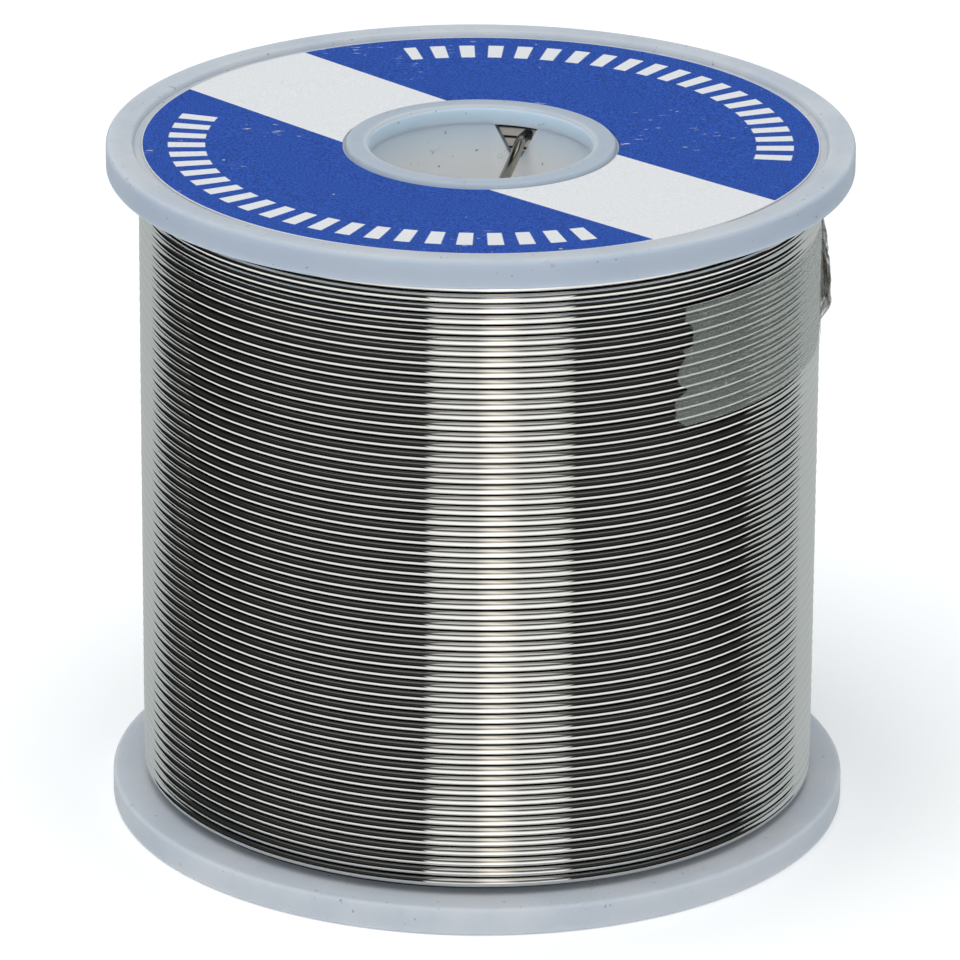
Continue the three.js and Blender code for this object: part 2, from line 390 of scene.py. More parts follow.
class Graph:
    """The node tree of a material or a world, written as short calls."""

    def __init__(self, owner: bpy.types.ID) -> None:
        """Clears the owner's tree.

        Args:
            owner: the material or world.
        """
        owner.use_nodes = True
        self.tree = owner.node_tree
        self.tree.nodes.clear()

    def node(self, kind: str, inputs: dict[str | int, object], **settings: object) -> bpy.types.Node:
        """Adds a node.

        Args:
            kind: the node's type, without its ShaderNode prefix.
            inputs: a value or a socket for each input.
            **settings: the node's properties.

        Returns:
            The node.
        """
        made = self.tree.nodes.new("ShaderNode" + kind)
        for key, value in settings.items():
            setattr(made, key, value)
        for key, value in inputs.items():
            if isinstance(value, bpy.types.NodeSocket):
                self.tree.links.new(value, made.inputs[key])
            else:
                made.inputs[key].default_value = value
        return made

    def math(self, operation: str, *values: object) -> bpy.types.NodeSocket:
        """The result of a math node on one to three values."""
        return self.node("Math", dict(enumerate(values)), operation=operation).outputs[0]

    def times(self, *values: object) -> object:
        """The product of some values."""
        return reduce(lambda first, second: self.math("MULTIPLY", first, second), values)

    def most(self, *values: object) -> object:
        """The greatest of some values."""
        return reduce(lambda first, second: self.math("MAXIMUM", first, second), values)

    def plus(self, base: object, share: float, value: object) -> object:
        """A base with a share of a value on top."""
        return self.math("ADD", base, self.times(value, share))

    def step(self, value: object, low: float, high: float, start: float = 0, end: float = 1) -> object:
        """A smooth step of a value, from start at low to end at high."""
        inputs = {0: value, 1: low, 2: high, 3: start, 4: end}
        return self.node("MapRange", inputs, interpolation_type="SMOOTHSTEP").outputs[0]

    def between(self, value: object, low: float, high: float, soft: float) -> object:
        """1 where a value lies between two limits, with soft edges of a given width."""
        rise = self.step(value, low - soft, low + soft)
        return self.times(rise, self.step(value, high - soft, high + soft, 1, 0))

    def blend(self, share: object, first: object, second: object, mode: str = "MIX") -> object:
        """A colour mixed from two by a share."""
        inputs = {0: share, 6: first, 7: second}
        return self.node("Mix", inputs, data_type="RGBA", blend_type=mode).outputs[2]

    def noise(self, where: object, grain: Grain) -> object:
        """A grain's noise at a place.

        Args:
            where: the place.
            grain: the noise.

        Returns:
            Its value, from 0 to 1.
        """
        scale = grain.scale
        if isinstance(scale, tuple):
            where = self.node("Mapping", {"Vector": where, "Scale": scale}).outputs[0]
            scale = 1
        inputs = {"Vector": where, "Scale": scale, "Detail": grain.detail, "Roughness": grain.rough}
        value = self.node("TexNoise", inputs).outputs[0]
        return self.step(value, *grain.limits) if grain.limits else value

    def hairlines(self, where: object, contours: Grain, width: Point, patches: Grain) -> object:
        """A mask of short, thin, curved lines: stretches of the contour lines of a slow noise.

        Args:
            where: the place.
            contours: the noise whose middle contours are the lines.
            width: where a line begins to fade and where it has faded, as steps of that noise.
            patches: the noise that leaves only stretches of them.

        Returns:
            1 on a line and 0 elsewhere.
        """
        contour = self.math("ABSOLUTE", self.math("SUBTRACT", self.noise(where, contours), 0.5))
        return self.times(self.step(contour, *width, 1, 0), self.noise(where, patches))

    def bump(self, height: object, relief: Point, normal: object = None) -> object:
        """A normal tilted by a height.

        Args:
            height: the height.
            relief: the tilt's strength, and the distance that a height of 1 stands for.
            normal: the normal to tilt, where it isn't the surface's own.

        Returns:
            The tilted normal.
        """
        inputs = {"Height": height, "Strength": relief[0], "Distance": relief[1]}
        if normal is not None:
            inputs["Normal"] = normal
        return self.node("Bump", inputs).outputs[0]

    def split(self, place: object) -> Sequence[object]:
        """The three parts of a place."""
        return self.node("SeparateXYZ", {0: place}).outputs

    def turn(self, place: object) -> object:
        """The angle of a place or a direction from the front, in radians."""
        parts = self.split(place)
        return self.math("ARCTAN2", parts[0], self.times(parts[1], -1.0))

    def polar(self) -> tuple[object, object]:
        """A place on the object.

        Returns:
            The place and its distance from the axis.
        """
        place = self.node("TexCoord", {}).outputs["Object"]
        squares = [self.times(part, part) for part in self.split(place)[:2]]
        return place, self.math("SQRT", self.math("ADD", *squares))

    def surface(self, inputs: dict[str | int, object]) -> None:
        """Ends a material's tree with a Principled shader."""
        shader = self.node("BsdfPrincipled", inputs).outputs[0]
        self.node("OutputMaterial", {"Surface": shader})


@dataclass(frozen=True)
class Finish:
    """A surface finish that pieces of one material slot share."""

    name: str
    slot: Slot

    def graph(self) -> tuple[bpy.types.Material, Graph]:
        """A new material with an empty tree."""
        material = bpy.data.materials.new(self.name)
        return material, Graph(material)

    def material(self) -> bpy.types.Material:
        """The finish as a material; each finish makes its own."""
        raise NotImplementedError

    def dress(self, obj: bpy.types.Object) -> None:
        """Gives a piece this finish.

        Args:
            obj: the piece.
        """
        known = bpy.data.materials.get(self.name)
        obj.data.materials.clear()
        obj.data.materials.append(known if known else self.material())


@dataclass(frozen=True)
class NaturalPolypropylene(Finish):
    """Milky, slightly blue moulded plastic with a satin skin."""

    name: str = "natural_polypropylene"
    slot: Slot = Slot.PLASTIC
    body: Colour = linear(178, 186, 196)
    milky: Colour = linear(194, 198, 203)
    # Painted light: the bore's colours are lighter than the body and lightest low down, standing in for
    # light through the plastic.
    core: Colour = linear(210, 230, 252)
    bore_light_low: Colour = linear(248, 249, 248)
    # Painted shade: the darker, bluer outer wall of the rim, kept off low down where the painted floor glow
    # lights it.
    wall: Colour = linear(168, 181, 197)
    lit_through: Colour = linear(212, 219, 225)
    hub: Colour = linear(163, 176, 190)
    speck: Colour = linear(112, 116, 120)
    cloud: Grain = Grain(130, 4, 0.6, (0.3, 0.7))
    fine: Grain = Grain(5200, 2, 0.7, (0.25, 0.75))
    specks: Grain = Grain(2100, 1, limits=(0.745, 0.77))
    contours: Grain = Grain(620)
    scuffed: Grain = Grain(480, 1, limits=(0.66, 0.69))
    worn_ring: Grain = Grain(70, limits=(0.4, 0.62))
    skin: Grain = Grain(3800, 3, 0.65)
    gloss: Grain = Grain(420, 3)
    scuff_width: Point = (0.003, 0.009)
    fine_share: float = 0.35
    hub_share: float = 0.8
    rim_shade_share: float = 0.6
    speck_share: float = 0.6
    scuff_share: float = 0.35
    gloss_share: float = 0.14
    hub_ring: Point = (8.5 * MM, 10.0 * MM)
    hub_soft: float = 0.15 * MM
    bore_light_fade: Point = (8.17 * MM, 8.23 * MM)
    bore_light_turn: Point = (46.0 * MM, 50.5 * MM)
    rim_shade_fade: Point = (26.95 * MM, 27.15 * MM)
    glow_fade: Point = (4.0 * MM, 30.0 * MM)
    floor_glow: float = 0.07
    mark_ring: Point = (26.13 * MM, 26.17 * MM)
    mark_soft: float = 0.05 * MM
    skin_relief: Point = (0.14, 0.03 * MM)
    mark_relief: Point = (0.5, 0.03 * MM)
    scuff_relief: Point = (0.4, -0.02 * MM)
    roughness: float = 0.34
    refraction: float = 1.49
    scatter: float = 0.5
    scatter_radius: tuple[float, float, float] = (0.75, 0.9, 1.05)
    scatter_scale: float = 0.0022

    def material(self) -> bpy.types.Material:
        """Mottled body, a painted lighter bore for light through the plastic, painted shade on the upper
        rim's outer wall, a painted glow low down near the floor, mould grain, a turned ring, hair-thin
        scuffs and specks.

        Returns:
            The material.
        """
        material, g = self.graph()
        place, radius = g.polar()
        height = g.split(place)[2]
        glow = g.step(height, *self.glow_fade, 1, 0)
        unlit = g.math("SUBTRACT", 1.0, glow)
        # Painted light in the bore, lightest low down.
        core = g.blend(g.step(height, *self.bore_light_turn), self.bore_light_low, self.core)
        scuffs = g.hairlines(place, self.contours, self.scuff_width, self.scuffed)
        specks = g.times(g.noise(place, self.specks), self.speck_share)
        colour = g.blend(g.noise(place, self.cloud), self.body, self.milky)
        tints = (
            (g.times(g.noise(place, self.fine), self.fine_share), self.milky),
            (g.times(g.between(radius, *self.hub_ring, self.hub_soft), self.hub_share), self.hub),
            # Painted shade on the rim's outer wall, away from the floor.
            (g.times(g.step(radius, *self.rim_shade_fade), unlit, self.rim_shade_share), self.wall),
            (g.step(radius, *self.bore_light_fade, 1, 0), core),
            (g.most(specks, g.times(scuffs, self.scuff_share)), self.speck),
        )
        for share, tint in tints:
            colour = g.blend(share, colour, tint)
        ring = g.times(g.between(radius, *self.mark_ring, self.mark_soft), g.noise(place, self.worn_ring))
        normal = g.bump(g.noise(place, self.skin), self.skin_relief)
        normal = g.bump(ring, self.mark_relief, normal)
        g.surface(
            {
                "Base Color": colour,
                "Roughness": g.plus(self.roughness, self.gloss_share, g.noise(place, self.gloss)),
                "IOR": self.refraction,
                "Emission Color": self.lit_through,
                "Emission Strength": g.times(glow, self.floor_glow),
                "Subsurface Weight": self.scatter,
                "Subsurface Radius": self.scatter_radius,
                "Subsurface Scale": self.scatter_scale,
                "Normal": g.bump(scuffs, self.scuff_relief, normal),
            }
        )
        return material


@dataclass(frozen=True)
class PrintedPaper(Finish):
    """Blue printed paper with a straight white band and two arcs of plain white bars."""

    name: str = "printed_paper"
    slot: Slot = Slot.PAPER
    blue: Colour = linear(32, 85, 184)
    deep_blue: Colour = linear(10, 52, 132)
    white: Colour = linear(227, 228, 229)
    dull_white: Colour = linear(217, 218, 220)
    crease: Colour = linear(176, 177, 180)
    mottle: Grain = Grain(7000, 2, 0.7, (0.43, 0.57))
    nicks: Grain = Grain((900, 3600, 1000), 2, 0.6, (0.66, 0.7))
    rubbed: Grain = Grain(170, limits=(0.6, 0.66))
    dots: Grain = Grain(1500, 1, limits=(0.79, 0.81))
    contours: Grain = Grain(240)
    creased: Grain = Grain(200, 1, limits=(0.6, 0.64))
    fibre: Grain = Grain((3000, 5200, 3000), 3, 0.6)
    wave: Grain = Grain(160)
    crease_width: Point = (0.002, 0.006)
    worn_share: float = 0.6
    crease_share: float = 0.5
    fibre_share: float = 0.15
    band_direction: Point = (0.70, 0.714)
    band: Point = (-6.75 * MM, 5.45 * MM)
    print_soft: float = 0.04 * MM
    edge_fade: Point = (24.52 * MM, 24.55 * MM)
    bar_ring: Point = (20.0 * MM, 22.7 * MM)
    bar_pitch_deg: float = 5.625
    bar_share: float = 0.52
    bar_soft_deg: float = 0.12
    near_arc_deg: Point = (-107.0, 21.5)
    far_arc_deg: Point = (78.0, 195.0)
    far_from_deg: float = -120.0
    fibre_relief: Point = (0.12, 0.015 * MM)
    wave_relief: Point = (0.2, 0.1 * MM)
    roughness: float = 0.5
    shine: float = 0.2

    def bars(self, g: Graph, radius: object, degrees: object) -> object:
        """A mask of the plain bars.

        Args:
            g: the tree.
            radius: distance from the axis.
            degrees: angle from the front.

        Returns:
            1 on a bar and 0 elsewhere.
        """
        soft, pitch = self.bar_soft_deg, self.bar_pitch_deg
        behind = g.plus(degrees, 360.0, g.math("LESS_THAN", degrees, self.far_from_deg))
        near = g.between(degrees, *self.near_arc_deg, soft)
        arcs = g.most(near, g.between(behind, *self.far_arc_deg, soft))
        phase = g.math("FRACT", g.math("DIVIDE", g.math("ADD", degrees, 360.0), pitch))
        beat = g.between(phase, 0.5 - self.bar_share / 2, 0.5 + self.bar_share / 2, soft / pitch)
        return g.times(beat, g.between(radius, *self.bar_ring, self.print_soft), arcs)

    def material(self) -> bpy.types.Material:
        """The printed pattern with ink mottle, paper fibre, creases, worn spots and short scratches.

        Returns:
            The material.
        """
        material, g = self.graph()
        place, radius = g.polar()
        pulls = [g.times(part, pull) for part, pull in zip(g.split(place), self.band_direction)]
        band = g.between(g.math("ADD", *pulls), *self.band, self.print_soft)
        bars = self.bars(g, radius, g.times(g.turn(place), 180 / math.pi))
        nicks = g.times(g.noise(place, self.nicks), g.noise(place, self.rubbed))
        worn = g.times(g.most(nicks, g.noise(place, self.dots)), self.worn_share)
        share = g.most(band, g.step(radius, *self.edge_fade), bars, worn)
        mottle = g.noise(place, self.mottle)
        crease = g.hairlines(place, self.contours, self.crease_width, self.creased)
        ink = g.blend(mottle, self.deep_blue, self.blue)
        paper = g.blend(mottle, self.dull_white, self.white)
        paper = g.blend(g.times(crease, self.crease_share), paper, self.crease)
        fibre = g.noise(place, self.fibre)
        normal = g.bump(fibre, self.fibre_relief)
        g.surface(
            {
                "Base Color": g.blend(share, ink, paper),
                "Roughness": g.plus(self.roughness, self.fibre_share, fibre),
                "Specular IOR Level": self.shine,
                "Normal": g.bump(g.noise(place, self.wave), self.wave_relief, normal),
            }
        )
        return material


@dataclass(frozen=True)
class DrawnSolder(Finish):
    """Even bright drawn tin-lead wire, with painted shade down between its packed turns."""

    name: str = "drawn_solder"
    slot: Slot = Slot.SOLDER
    metal: Colour = (0.78203, 0.78282, 0.75308, 1.0)
    # Painted shade: the near-black colour where a turn faces its neighbours.
    crevice_shade: Colour = (0.02, 0.02, 0.018, 1.0)
    upper_crevice_shade: Point = (0.88, 0.99)
    lower_crevice_shade: Point = (-0.93, -0.72)
    roughness: float = 0.05
    metallic: float = 1.0
    paints_crevice_shade: bool = True
    valley_shade: Point | None = None
    lit_through: float = 0.0
    lit_fade: Point = (10.2 * MM, 10.6 * MM)

    def material(self) -> bpy.types.Material:
        """Plain metal with painted shade where a packed turn faces its neighbours, and where asked painted
        shade in its valleys and a painted glow.

        Returns:
            The material.
        """
        material, g = self.graph()
        colour, radius = self.metal, g.polar()[1]
        if self.paints_crevice_shade:
            upward = g.split(g.node("TexCoord", {}).outputs["Normal"])[2]
            # Painted shade where the normal points up or down at a neighbouring turn, and in the valleys
            # where asked.
            crevice_shade_share = g.most(g.step(upward, *self.upper_crevice_shade), g.step(upward, *self.lower_crevice_shade, 1, 0))
            if self.valley_shade:
                crevice_shade_share = g.most(crevice_shade_share, g.step(radius, *self.valley_shade))
            colour = g.blend(crevice_shade_share, self.metal, self.crevice_shade)
        inputs = {"Base Color": colour, "Metallic": self.metallic, "Roughness": self.roughness}
        if self.lit_through:
            inputs["Emission Color"] = colour
            inputs["Emission Strength"] = g.step(radius, *self.lit_fade, self.lit_through, 0)
        g.surface(inputs)
        return material


@dataclass(frozen=True)
class RosinFlux(Finish):
    """Amber rosin."""

    name: str = "rosin_flux"
    slot: Slot = Slot.FLUX
    amber: Colour = (0.5, 0.24, 0.05, 1.0)
    honey: Colour = (0.68, 0.42, 0.13, 1.0)
    cloud: Grain = Grain(5200, 3)
    clouded: Point = (0.3, 0.7)
    skin: Grain = Grain(9000)
    skin_relief: Point = (0.3, 0.01 * MM)
    roughness: float = 0.18
    cloud_roughness: float = 0.15
    coat: float = 0.4

    def material(self) -> bpy.types.Material:
        """Clouded amber with a glassy skin.

        Returns:
            The material.
        """
        material, g = self.graph()
        place = g.polar()[0]
        cloud = g.noise(place, self.cloud)
        g.surface(
            {
                "Base Color": g.blend(g.step(cloud, *self.clouded), self.amber, self.honey),
                "Roughness": g.plus(self.roughness, self.cloud_roughness, cloud),
                "Coat Weight": self.coat,
                "Normal": g.bump(g.noise(place, self.skin), self.skin_relief),
            }
        )
        return material


@dataclass(frozen=True)
class ClearTape(Finish):
    """Milky see-through tape with glue bubbles and fine creases, pleated over the wire's end with painted
    shade in the pleats.
    """

    name: str = "milky_clear_film"
    slot: Slot = Slot.TAPE
    film: Colour = linear(176, 183, 176)
    bubble: Colour = linear(232, 235, 230)
    # Painted shade: the dark brownish colour of the pleats over the wire's end.
    pleat_shade: Colour = linear(84, 80, 64)
    bubbles: Grain = Grain((2.6, 2.6, 1.0), 2, 0.6, (0.62, 0.72))
    creases: Grain = Grain((0.5, 3.0, 1.0), 3, 0.6)
    pleats: Grain = Grain((2.4, 0.3, 1.0), limits=(0.38, 0.56))
    bubble_share: float = 0.7
    fold_mm: Point = (38.2, 50.0)
    fold_soft_mm: float = 0.7
    opacity: float = 0.17
    bubble_opacity: float = 0.3
    fold_opacity: float = 0.3
    crease_relief: Point = (0.35, 0.04 * MM)
    bubble_relief: Point = (0.3, 0.02 * MM)
    roughness: float = 0.26
    crease_roughness: float = 0.2

    def material(self) -> bpy.types.Material:
        """A see-through film, lighter at bubbles and with painted shade at its folds.

        Returns:
            The material.
        """
        material, g = self.graph()
        along = g.node("TexCoord", {}).outputs["UV"]
        bubbles, creases = g.noise(along, self.bubbles), g.noise(along, self.creases)
        reach = g.between(g.split(along)[0], *self.fold_mm, self.fold_soft_mm)
        pleat_shade_share = g.times(reach, g.noise(along, self.pleats))
        colour = g.blend(g.times(bubbles, self.bubble_share), self.film, self.bubble)
        alpha = g.step(bubbles, 0, 1, self.opacity, self.bubble_opacity)
        normal = g.bump(creases, self.crease_relief)
        g.surface(
            {
                "Base Color": g.blend(pleat_shade_share, colour, self.pleat_shade),
                "Roughness": g.plus(self.roughness, self.crease_roughness, creases),
                "Alpha": g.plus(alpha, self.fold_opacity, pleat_shade_share),
                "Normal": g.bump(bubbles, self.bubble_relief, normal),
            }
        )
        return material


# ---------------------------------------------------------------- the spool


@dataclass
class Spool:
    """The moulded plastic: two equal flanges on a barrel with a starting notch."""

    flange_radius: float = 27.2 * MM
    flange_thickness: float = 2.1 * MM
    winding_width: float = 47.0 * MM
    bore_radius: float = 8.15 * MM
    barrel_wall: float = 1.6 * MM
    rim_land: float = 1.85 * MM
    hub_land: float = 1.55 * MM
    hub_drop: float = 0.3 * MM
    recess_depth: float = 0.4 * MM
    recess_step: float = 0.2 * MM
    socket_depth: float = 0.4 * MM
    socket_clearance: float = 0.05 * MM
    step_rounding: float = 0.05 * MM
    rim_rounding: float = 0.3 * MM
    bore_rounding: float = 0.35 * MM
    notch_deg: float = 161.5
    notch_mouth: float = 3.4 * MM
    notch_foot: float = 0.8 * MM
    notch_depth: float = 2.4 * MM
    notch_rounding: float = 0.05 * MM
    notch_slant_deg: float = 18.5
    cutter_reach: float = 1.0 * MM
    flange_segments: int = 192
    flange_crease_deg: float = 50
    barrel_segments: int = 144
    barrel_crease_deg: float = 35
    finish: NaturalPolypropylene = field(default_factory=NaturalPolypropylene)

    @property
    def upper_inner_face(self) -> float:
        """Height of the upper flange's inner face."""
        return self.flange_thickness + self.winding_width

    @property
    def height(self) -> float:
        """Height of the whole spool."""
        return self.upper_inner_face + self.flange_thickness

    @property
    def barrel_end(self) -> float:
        """Height of the barrel's upper end, inside the upper flange's socket."""
        return self.upper_inner_face + self.socket_depth

    @property
    def barrel_radius(self) -> float:
        """Outer radius of the barrel."""
        return self.bore_radius + self.barrel_wall

    @property
    def recess_inner(self) -> float:
        """Radius at which the raised ring round the bore ends."""
        return self.bore_radius + self.hub_land

    @property
    def recess_outer(self) -> float:
        """Radius at which the raised rim begins."""
        return self.flange_radius - self.rim_land

    def recess_height(self, radius: float) -> float:
        """How deep the recessed face lies under the rim's plane at a radius."""
        share = (radius - self.recess_inner) / (self.recess_outer - self.recess_inner)
        return self.recess_depth + self.hub_drop * (1 - share)

    def flange_profile(self) -> list[Point]:
        """Profile of a flange whose outer face lies on height 0.

        Returns:
            Radius and height of each point.
        """
        rim = self.flange_radius - self.rim_rounding
        bore = (self.bore_radius + self.bore_rounding, self.hub_drop + self.bore_rounding)
        soft = self.step_rounding
        inner, outer = self.recess_inner, self.recess_outer
        foot_in, foot_out = inner + self.recess_step, outer - self.recess_step
        socket = self.barrel_radius + self.socket_clearance
        return [
            *rounded_corner(bore, self.bore_rounding, 180),
            (inner - soft, self.hub_drop),
            (inner + soft, self.hub_drop + soft),
            (foot_in, self.recess_height(foot_in)),
            (foot_out, self.recess_height(foot_out)),
            (outer - soft, soft),
            (outer + soft, 0),
            *rounded_corner((rim, self.rim_rounding), self.rim_rounding, 270),
            *rounded_corner((rim, self.flange_thickness - self.rim_rounding), self.rim_rounding, 0),
            (socket, self.flange_thickness),
            (socket, self.flange_thickness - self.socket_depth),
            (self.bore_radius, self.flange_thickness - self.socket_depth),
        ]

    def flange(self, name: str, node: str, upper: bool) -> bpy.types.Object:
        """One flange.

        Args:
            name: the piece's name.
            node: the CAD node that it stands for.
            upper: whether it is the upper one, which is the same moulding turned over.

        Returns:
            The dressed piece.
        """
        profile = self.flange_profile()
        if upper:
            profile = [(radius, self.height - height) for radius, height in reversed(profile)]
        obj = turned(name, profile, self.flange_segments, self.flange_crease_deg)
        return finished(obj, node, self.finish)

    def notch_cutter(self) -> bpy.types.Object:
        """The wedge that leaves the starting notch in the barrel's upper end.

        Returns:
            The wedge, wider above than below, with one cheek slanted.
        """
        over = self.cutter_reach
        flare = (self.notch_mouth - self.notch_foot) * over / self.notch_depth
        widen = (self.notch_mouth + flare) / self.notch_foot
        slope = math.tan(math.radians(self.notch_slant_deg))
        middle = self.bore_radius + self.barrel_wall / 2
        centre = (0, -middle, self.barrel_end + (over - self.notch_depth) / 2)
        bpy.ops.object.select_all(action="DESELECT")
        bpy.ops.mesh.primitive_cube_add(size=1, location=centre)
        obj = bpy.context.object
        obj.scale = (self.notch_foot, self.barrel_wall + 2 * over, self.notch_depth + over)
        obj = added("notch_cutter")
        for vertex in obj.data.vertices:
            if vertex.co.z > self.barrel_end:
                vertex.co.x *= widen
            if vertex.co.x > 0:
                vertex.co.x += (-vertex.co.y - self.bore_radius) * slope
        obj.rotation_euler.z = math.radians(self.notch_deg)
        return settled(obj)

    def barrel(self) -> bpy.types.Object:
        """The barrel with its notch.

        Returns:
            The dressed piece.
        """
        low, high = self.flange_thickness - self.socket_depth, self.barrel_end
        corners = [(self.bore_radius, low), (self.barrel_radius, low)]
        corners += [(self.barrel_radius, high), (self.bore_radius, high)]
        obj = turned("moulded_barrel", corners, self.barrel_segments)
        cutter = self.notch_cutter()
        apply_modifier(obj, "BOOLEAN", operation="DIFFERENCE", solver="EXACT", object=cutter)
        bpy.data.objects.remove(cutter)
        self.soften_notch(obj)
        bpy.ops.object.shade_smooth_by_angle(angle=math.radians(self.barrel_crease_deg))
        return finished(obj, "barrel", self.finish)

    def soften_notch(self, obj: bpy.types.Object) -> None:
        """Bevels the notch's own edges.

        Args:
            obj: the barrel.
        """
        sharp_deg, level, margin, segments = 30, 0.01 * MM, 0.1 * MM, 2
        foot = self.barrel_end - self.notch_depth - margin
        with editing(obj):
            bpy.ops.mesh.select_all(action="DESELECT")
            bpy.ops.mesh.select_mode(type="EDGE")
            bpy.ops.mesh.edges_select_sharp(sharpness=math.radians(sharp_deg))
            bpy.ops.object.mode_set(mode="OBJECT")
            for edge in obj.data.edges:
                heights = [obj.data.vertices[index].co.z for index in edge.vertices]
                flat = max(abs(height - self.barrel_end) for height in heights) < level
                edge.select = edge.select and not flat and min(heights) >= foot
            bpy.ops.object.mode_set(mode="EDIT")
            bpy.ops.mesh.bevel(offset=self.notch_rounding, segments=segments, affect="EDGES")
            bpy.ops.mesh.select_mode(type="VERT")

    def build(self) -> None:
        """Builds the flanges and the barrel."""
        self.flange("moulded_lower_flange", "lower_flange", upper=False)
        self.flange("moulded_upper_flange", "upper_flange", upper=True)
        self.barrel()


@dataclass
class Label:
    """The round paper label in the upper flange's recess."""

    spool: Spool
    thickness: float = 0.1 * MM
    clearance: float = 0.02 * MM
    outer_margin: float = 0.55 * MM
    hole_margin: float = 0.15 * MM
    edge_rounding: float = 0.03 * MM
    segments: int = 192
    finish: PrintedPaper = field(default_factory=PrintedPaper)

    def face(self, radius: float, lift: float) -> Point:
        """A point at a lift above the recessed face."""
        return (radius, self.spool.height - self.spool.recess_height(radius) + lift)

    def build(self) -> None:
        """Builds the label on the recess's shallow cone."""
        step = self.spool.recess_step
        inner = self.spool.recess_inner + step + self.hole_margin
        outer = self.spool.recess_outer - step - self.outer_margin
        middle, soft = (inner + outer) / 2, self.edge_rounding
        low, high = self.clearance, self.clearance + self.thickness
        corners = [(inner, low), (middle, low), (outer, low), (outer, high - soft)]
        corners += [(outer - soft, high), (middle, high), (inner + soft, high), (inner, high - soft)]
        profile = [self.face(radius, lift) for radius, lift in corners]
        obj = turned("paper_label", profile, self.segments)
        finished(obj, "top_label", self.finish)


# ---------------------------------------------------------------- the wire


@dataclass
class Winding:
    """The wound wire: the inner layers as one ring, and the outer layer turn by turn."""

    spool: Spool
    diameter: float = 0.8 * MM
    crest_radius: float = 24.88 * MM
    layer_rise: float = 0.68 * MM
    clearance: float = 0.05 * MM
    end_gap: float = 0.3 * MM
    turns: int = 58
    flange_gap: float = 0.03 * MM
    top_end_deg: float = 235.0
    steps_per_turn: int = 112
    settling_turns: float = 0.5
    sway: float = 0.02 * MM
    sway_scale: float = 1.3
    sway_shift: Triple = (7, 3, 5)
    stagger: float = 0.014 * MM
    stagger_radius: float = 1.6
    stagger_rise: float = 0.9
    dive: float = 0.4 * MM
    dive_deg: float = 14.0
    scallop_deg: tuple[float, ...] = (72, 36, 0, -36, -72)
    inner_segments: int = 96
    inner_crease_deg: float = 50
    finish: DrawnSolder = field(default_factory=DrawnSolder)
    # Painted light: a lighter, duller copy of the drawn solder, so the turns seen through the notch look
    # lit, with a painted glow on its inner wall and painted shade in its valleys.
    lit_buried_finish: DrawnSolder = DrawnSolder(
        name="lit_buried_solder",
        metal=(0.83152, 0.77152, 0.70152, 1.0),
        roughness=0.36,
        metallic=0.25,
        lit_through=0.2,
        valley_shade=(9.89 * MM, 10.03 * MM),
    )

    @property
    def centre_radius(self) -> float:
        """Radius of the outer layer's centreline."""
        return self.crest_radius - self.diameter / 2

    @property
    def top_height(self) -> float:
        """Height of the outer layer's centreline at its upper end."""
        return self.spool.upper_inner_face - self.diameter / 2 - self.flange_gap

    def helix(self) -> np.ndarray:
        """Centreline of the outer layer from its upper end down, each turn slightly out of line.

        Returns:
            Rows of x, y, z.
        """
        count = self.turns * self.steps_per_turn + 1
        turn = np.linspace(0, self.turns, count)
        fall = self.spool.winding_width - self.diameter - 2 * self.flange_gap
        degrees = self.top_end_deg + 360 * turn
        radius = np.full(count, self.centre_radius)
        height = self.top_height - fall * turn / self.turns
        shift = Vector(self.sway_shift)
        for index in range(count):
            spot = around(self.stagger_radius, degrees[index], self.stagger_rise * turn[index])
            radius[index] += self.stagger * noise.noise(spot)
            inside = min(1.0, min(turn[index], self.turns - turn[index]) / self.settling_turns)
            height[index] += inside * self.sway * noise.noise(spot * self.sway_scale + shift)
        left = (self.turns - turn) * 360
        radius -= self.dive * (1 - smooth(left, 0, self.dive_deg))
        return all_around(radius, degrees, height)

    def outer_layer(self) -> None:
        """The outer layer as one long wire."""
        obj = drawn_wire("wound_outer_layer", self.helix(), self.diameter)
        finished(obj, "outer_wire_layer", self.finish)

    def inner_layers(self) -> None:
        """The layers below as a ring whose inner wall shows the turns of the first layer."""
        bottom = self.spool.flange_thickness + self.end_gap
        top = self.spool.upper_inner_face - self.end_gap
        inner = self.spool.barrel_radius + self.clearance
        outer = self.crest_radius - self.layer_rise - self.clearance
        radius = self.diameter / 2
        profile = [(outer, bottom), (outer, top)]
        for turn in reversed(range(self.turns)):
            middle = bottom + (turn + 0.5) * self.diameter
            for slant in self.scallop_deg:
                angle = math.radians(slant)
                crest = inner + radius - radius * math.cos(angle)
                profile.append((crest, middle + radius * math.sin(angle)))
        obj = turned("wound_inner_layers", profile, self.inner_segments, self.inner_crease_deg)
        finished(obj, "inner_wire_layers", self.lit_buried_finish)

    def build(self) -> None:
        """Builds both."""
        self.inner_layers()
        self.outer_layer()


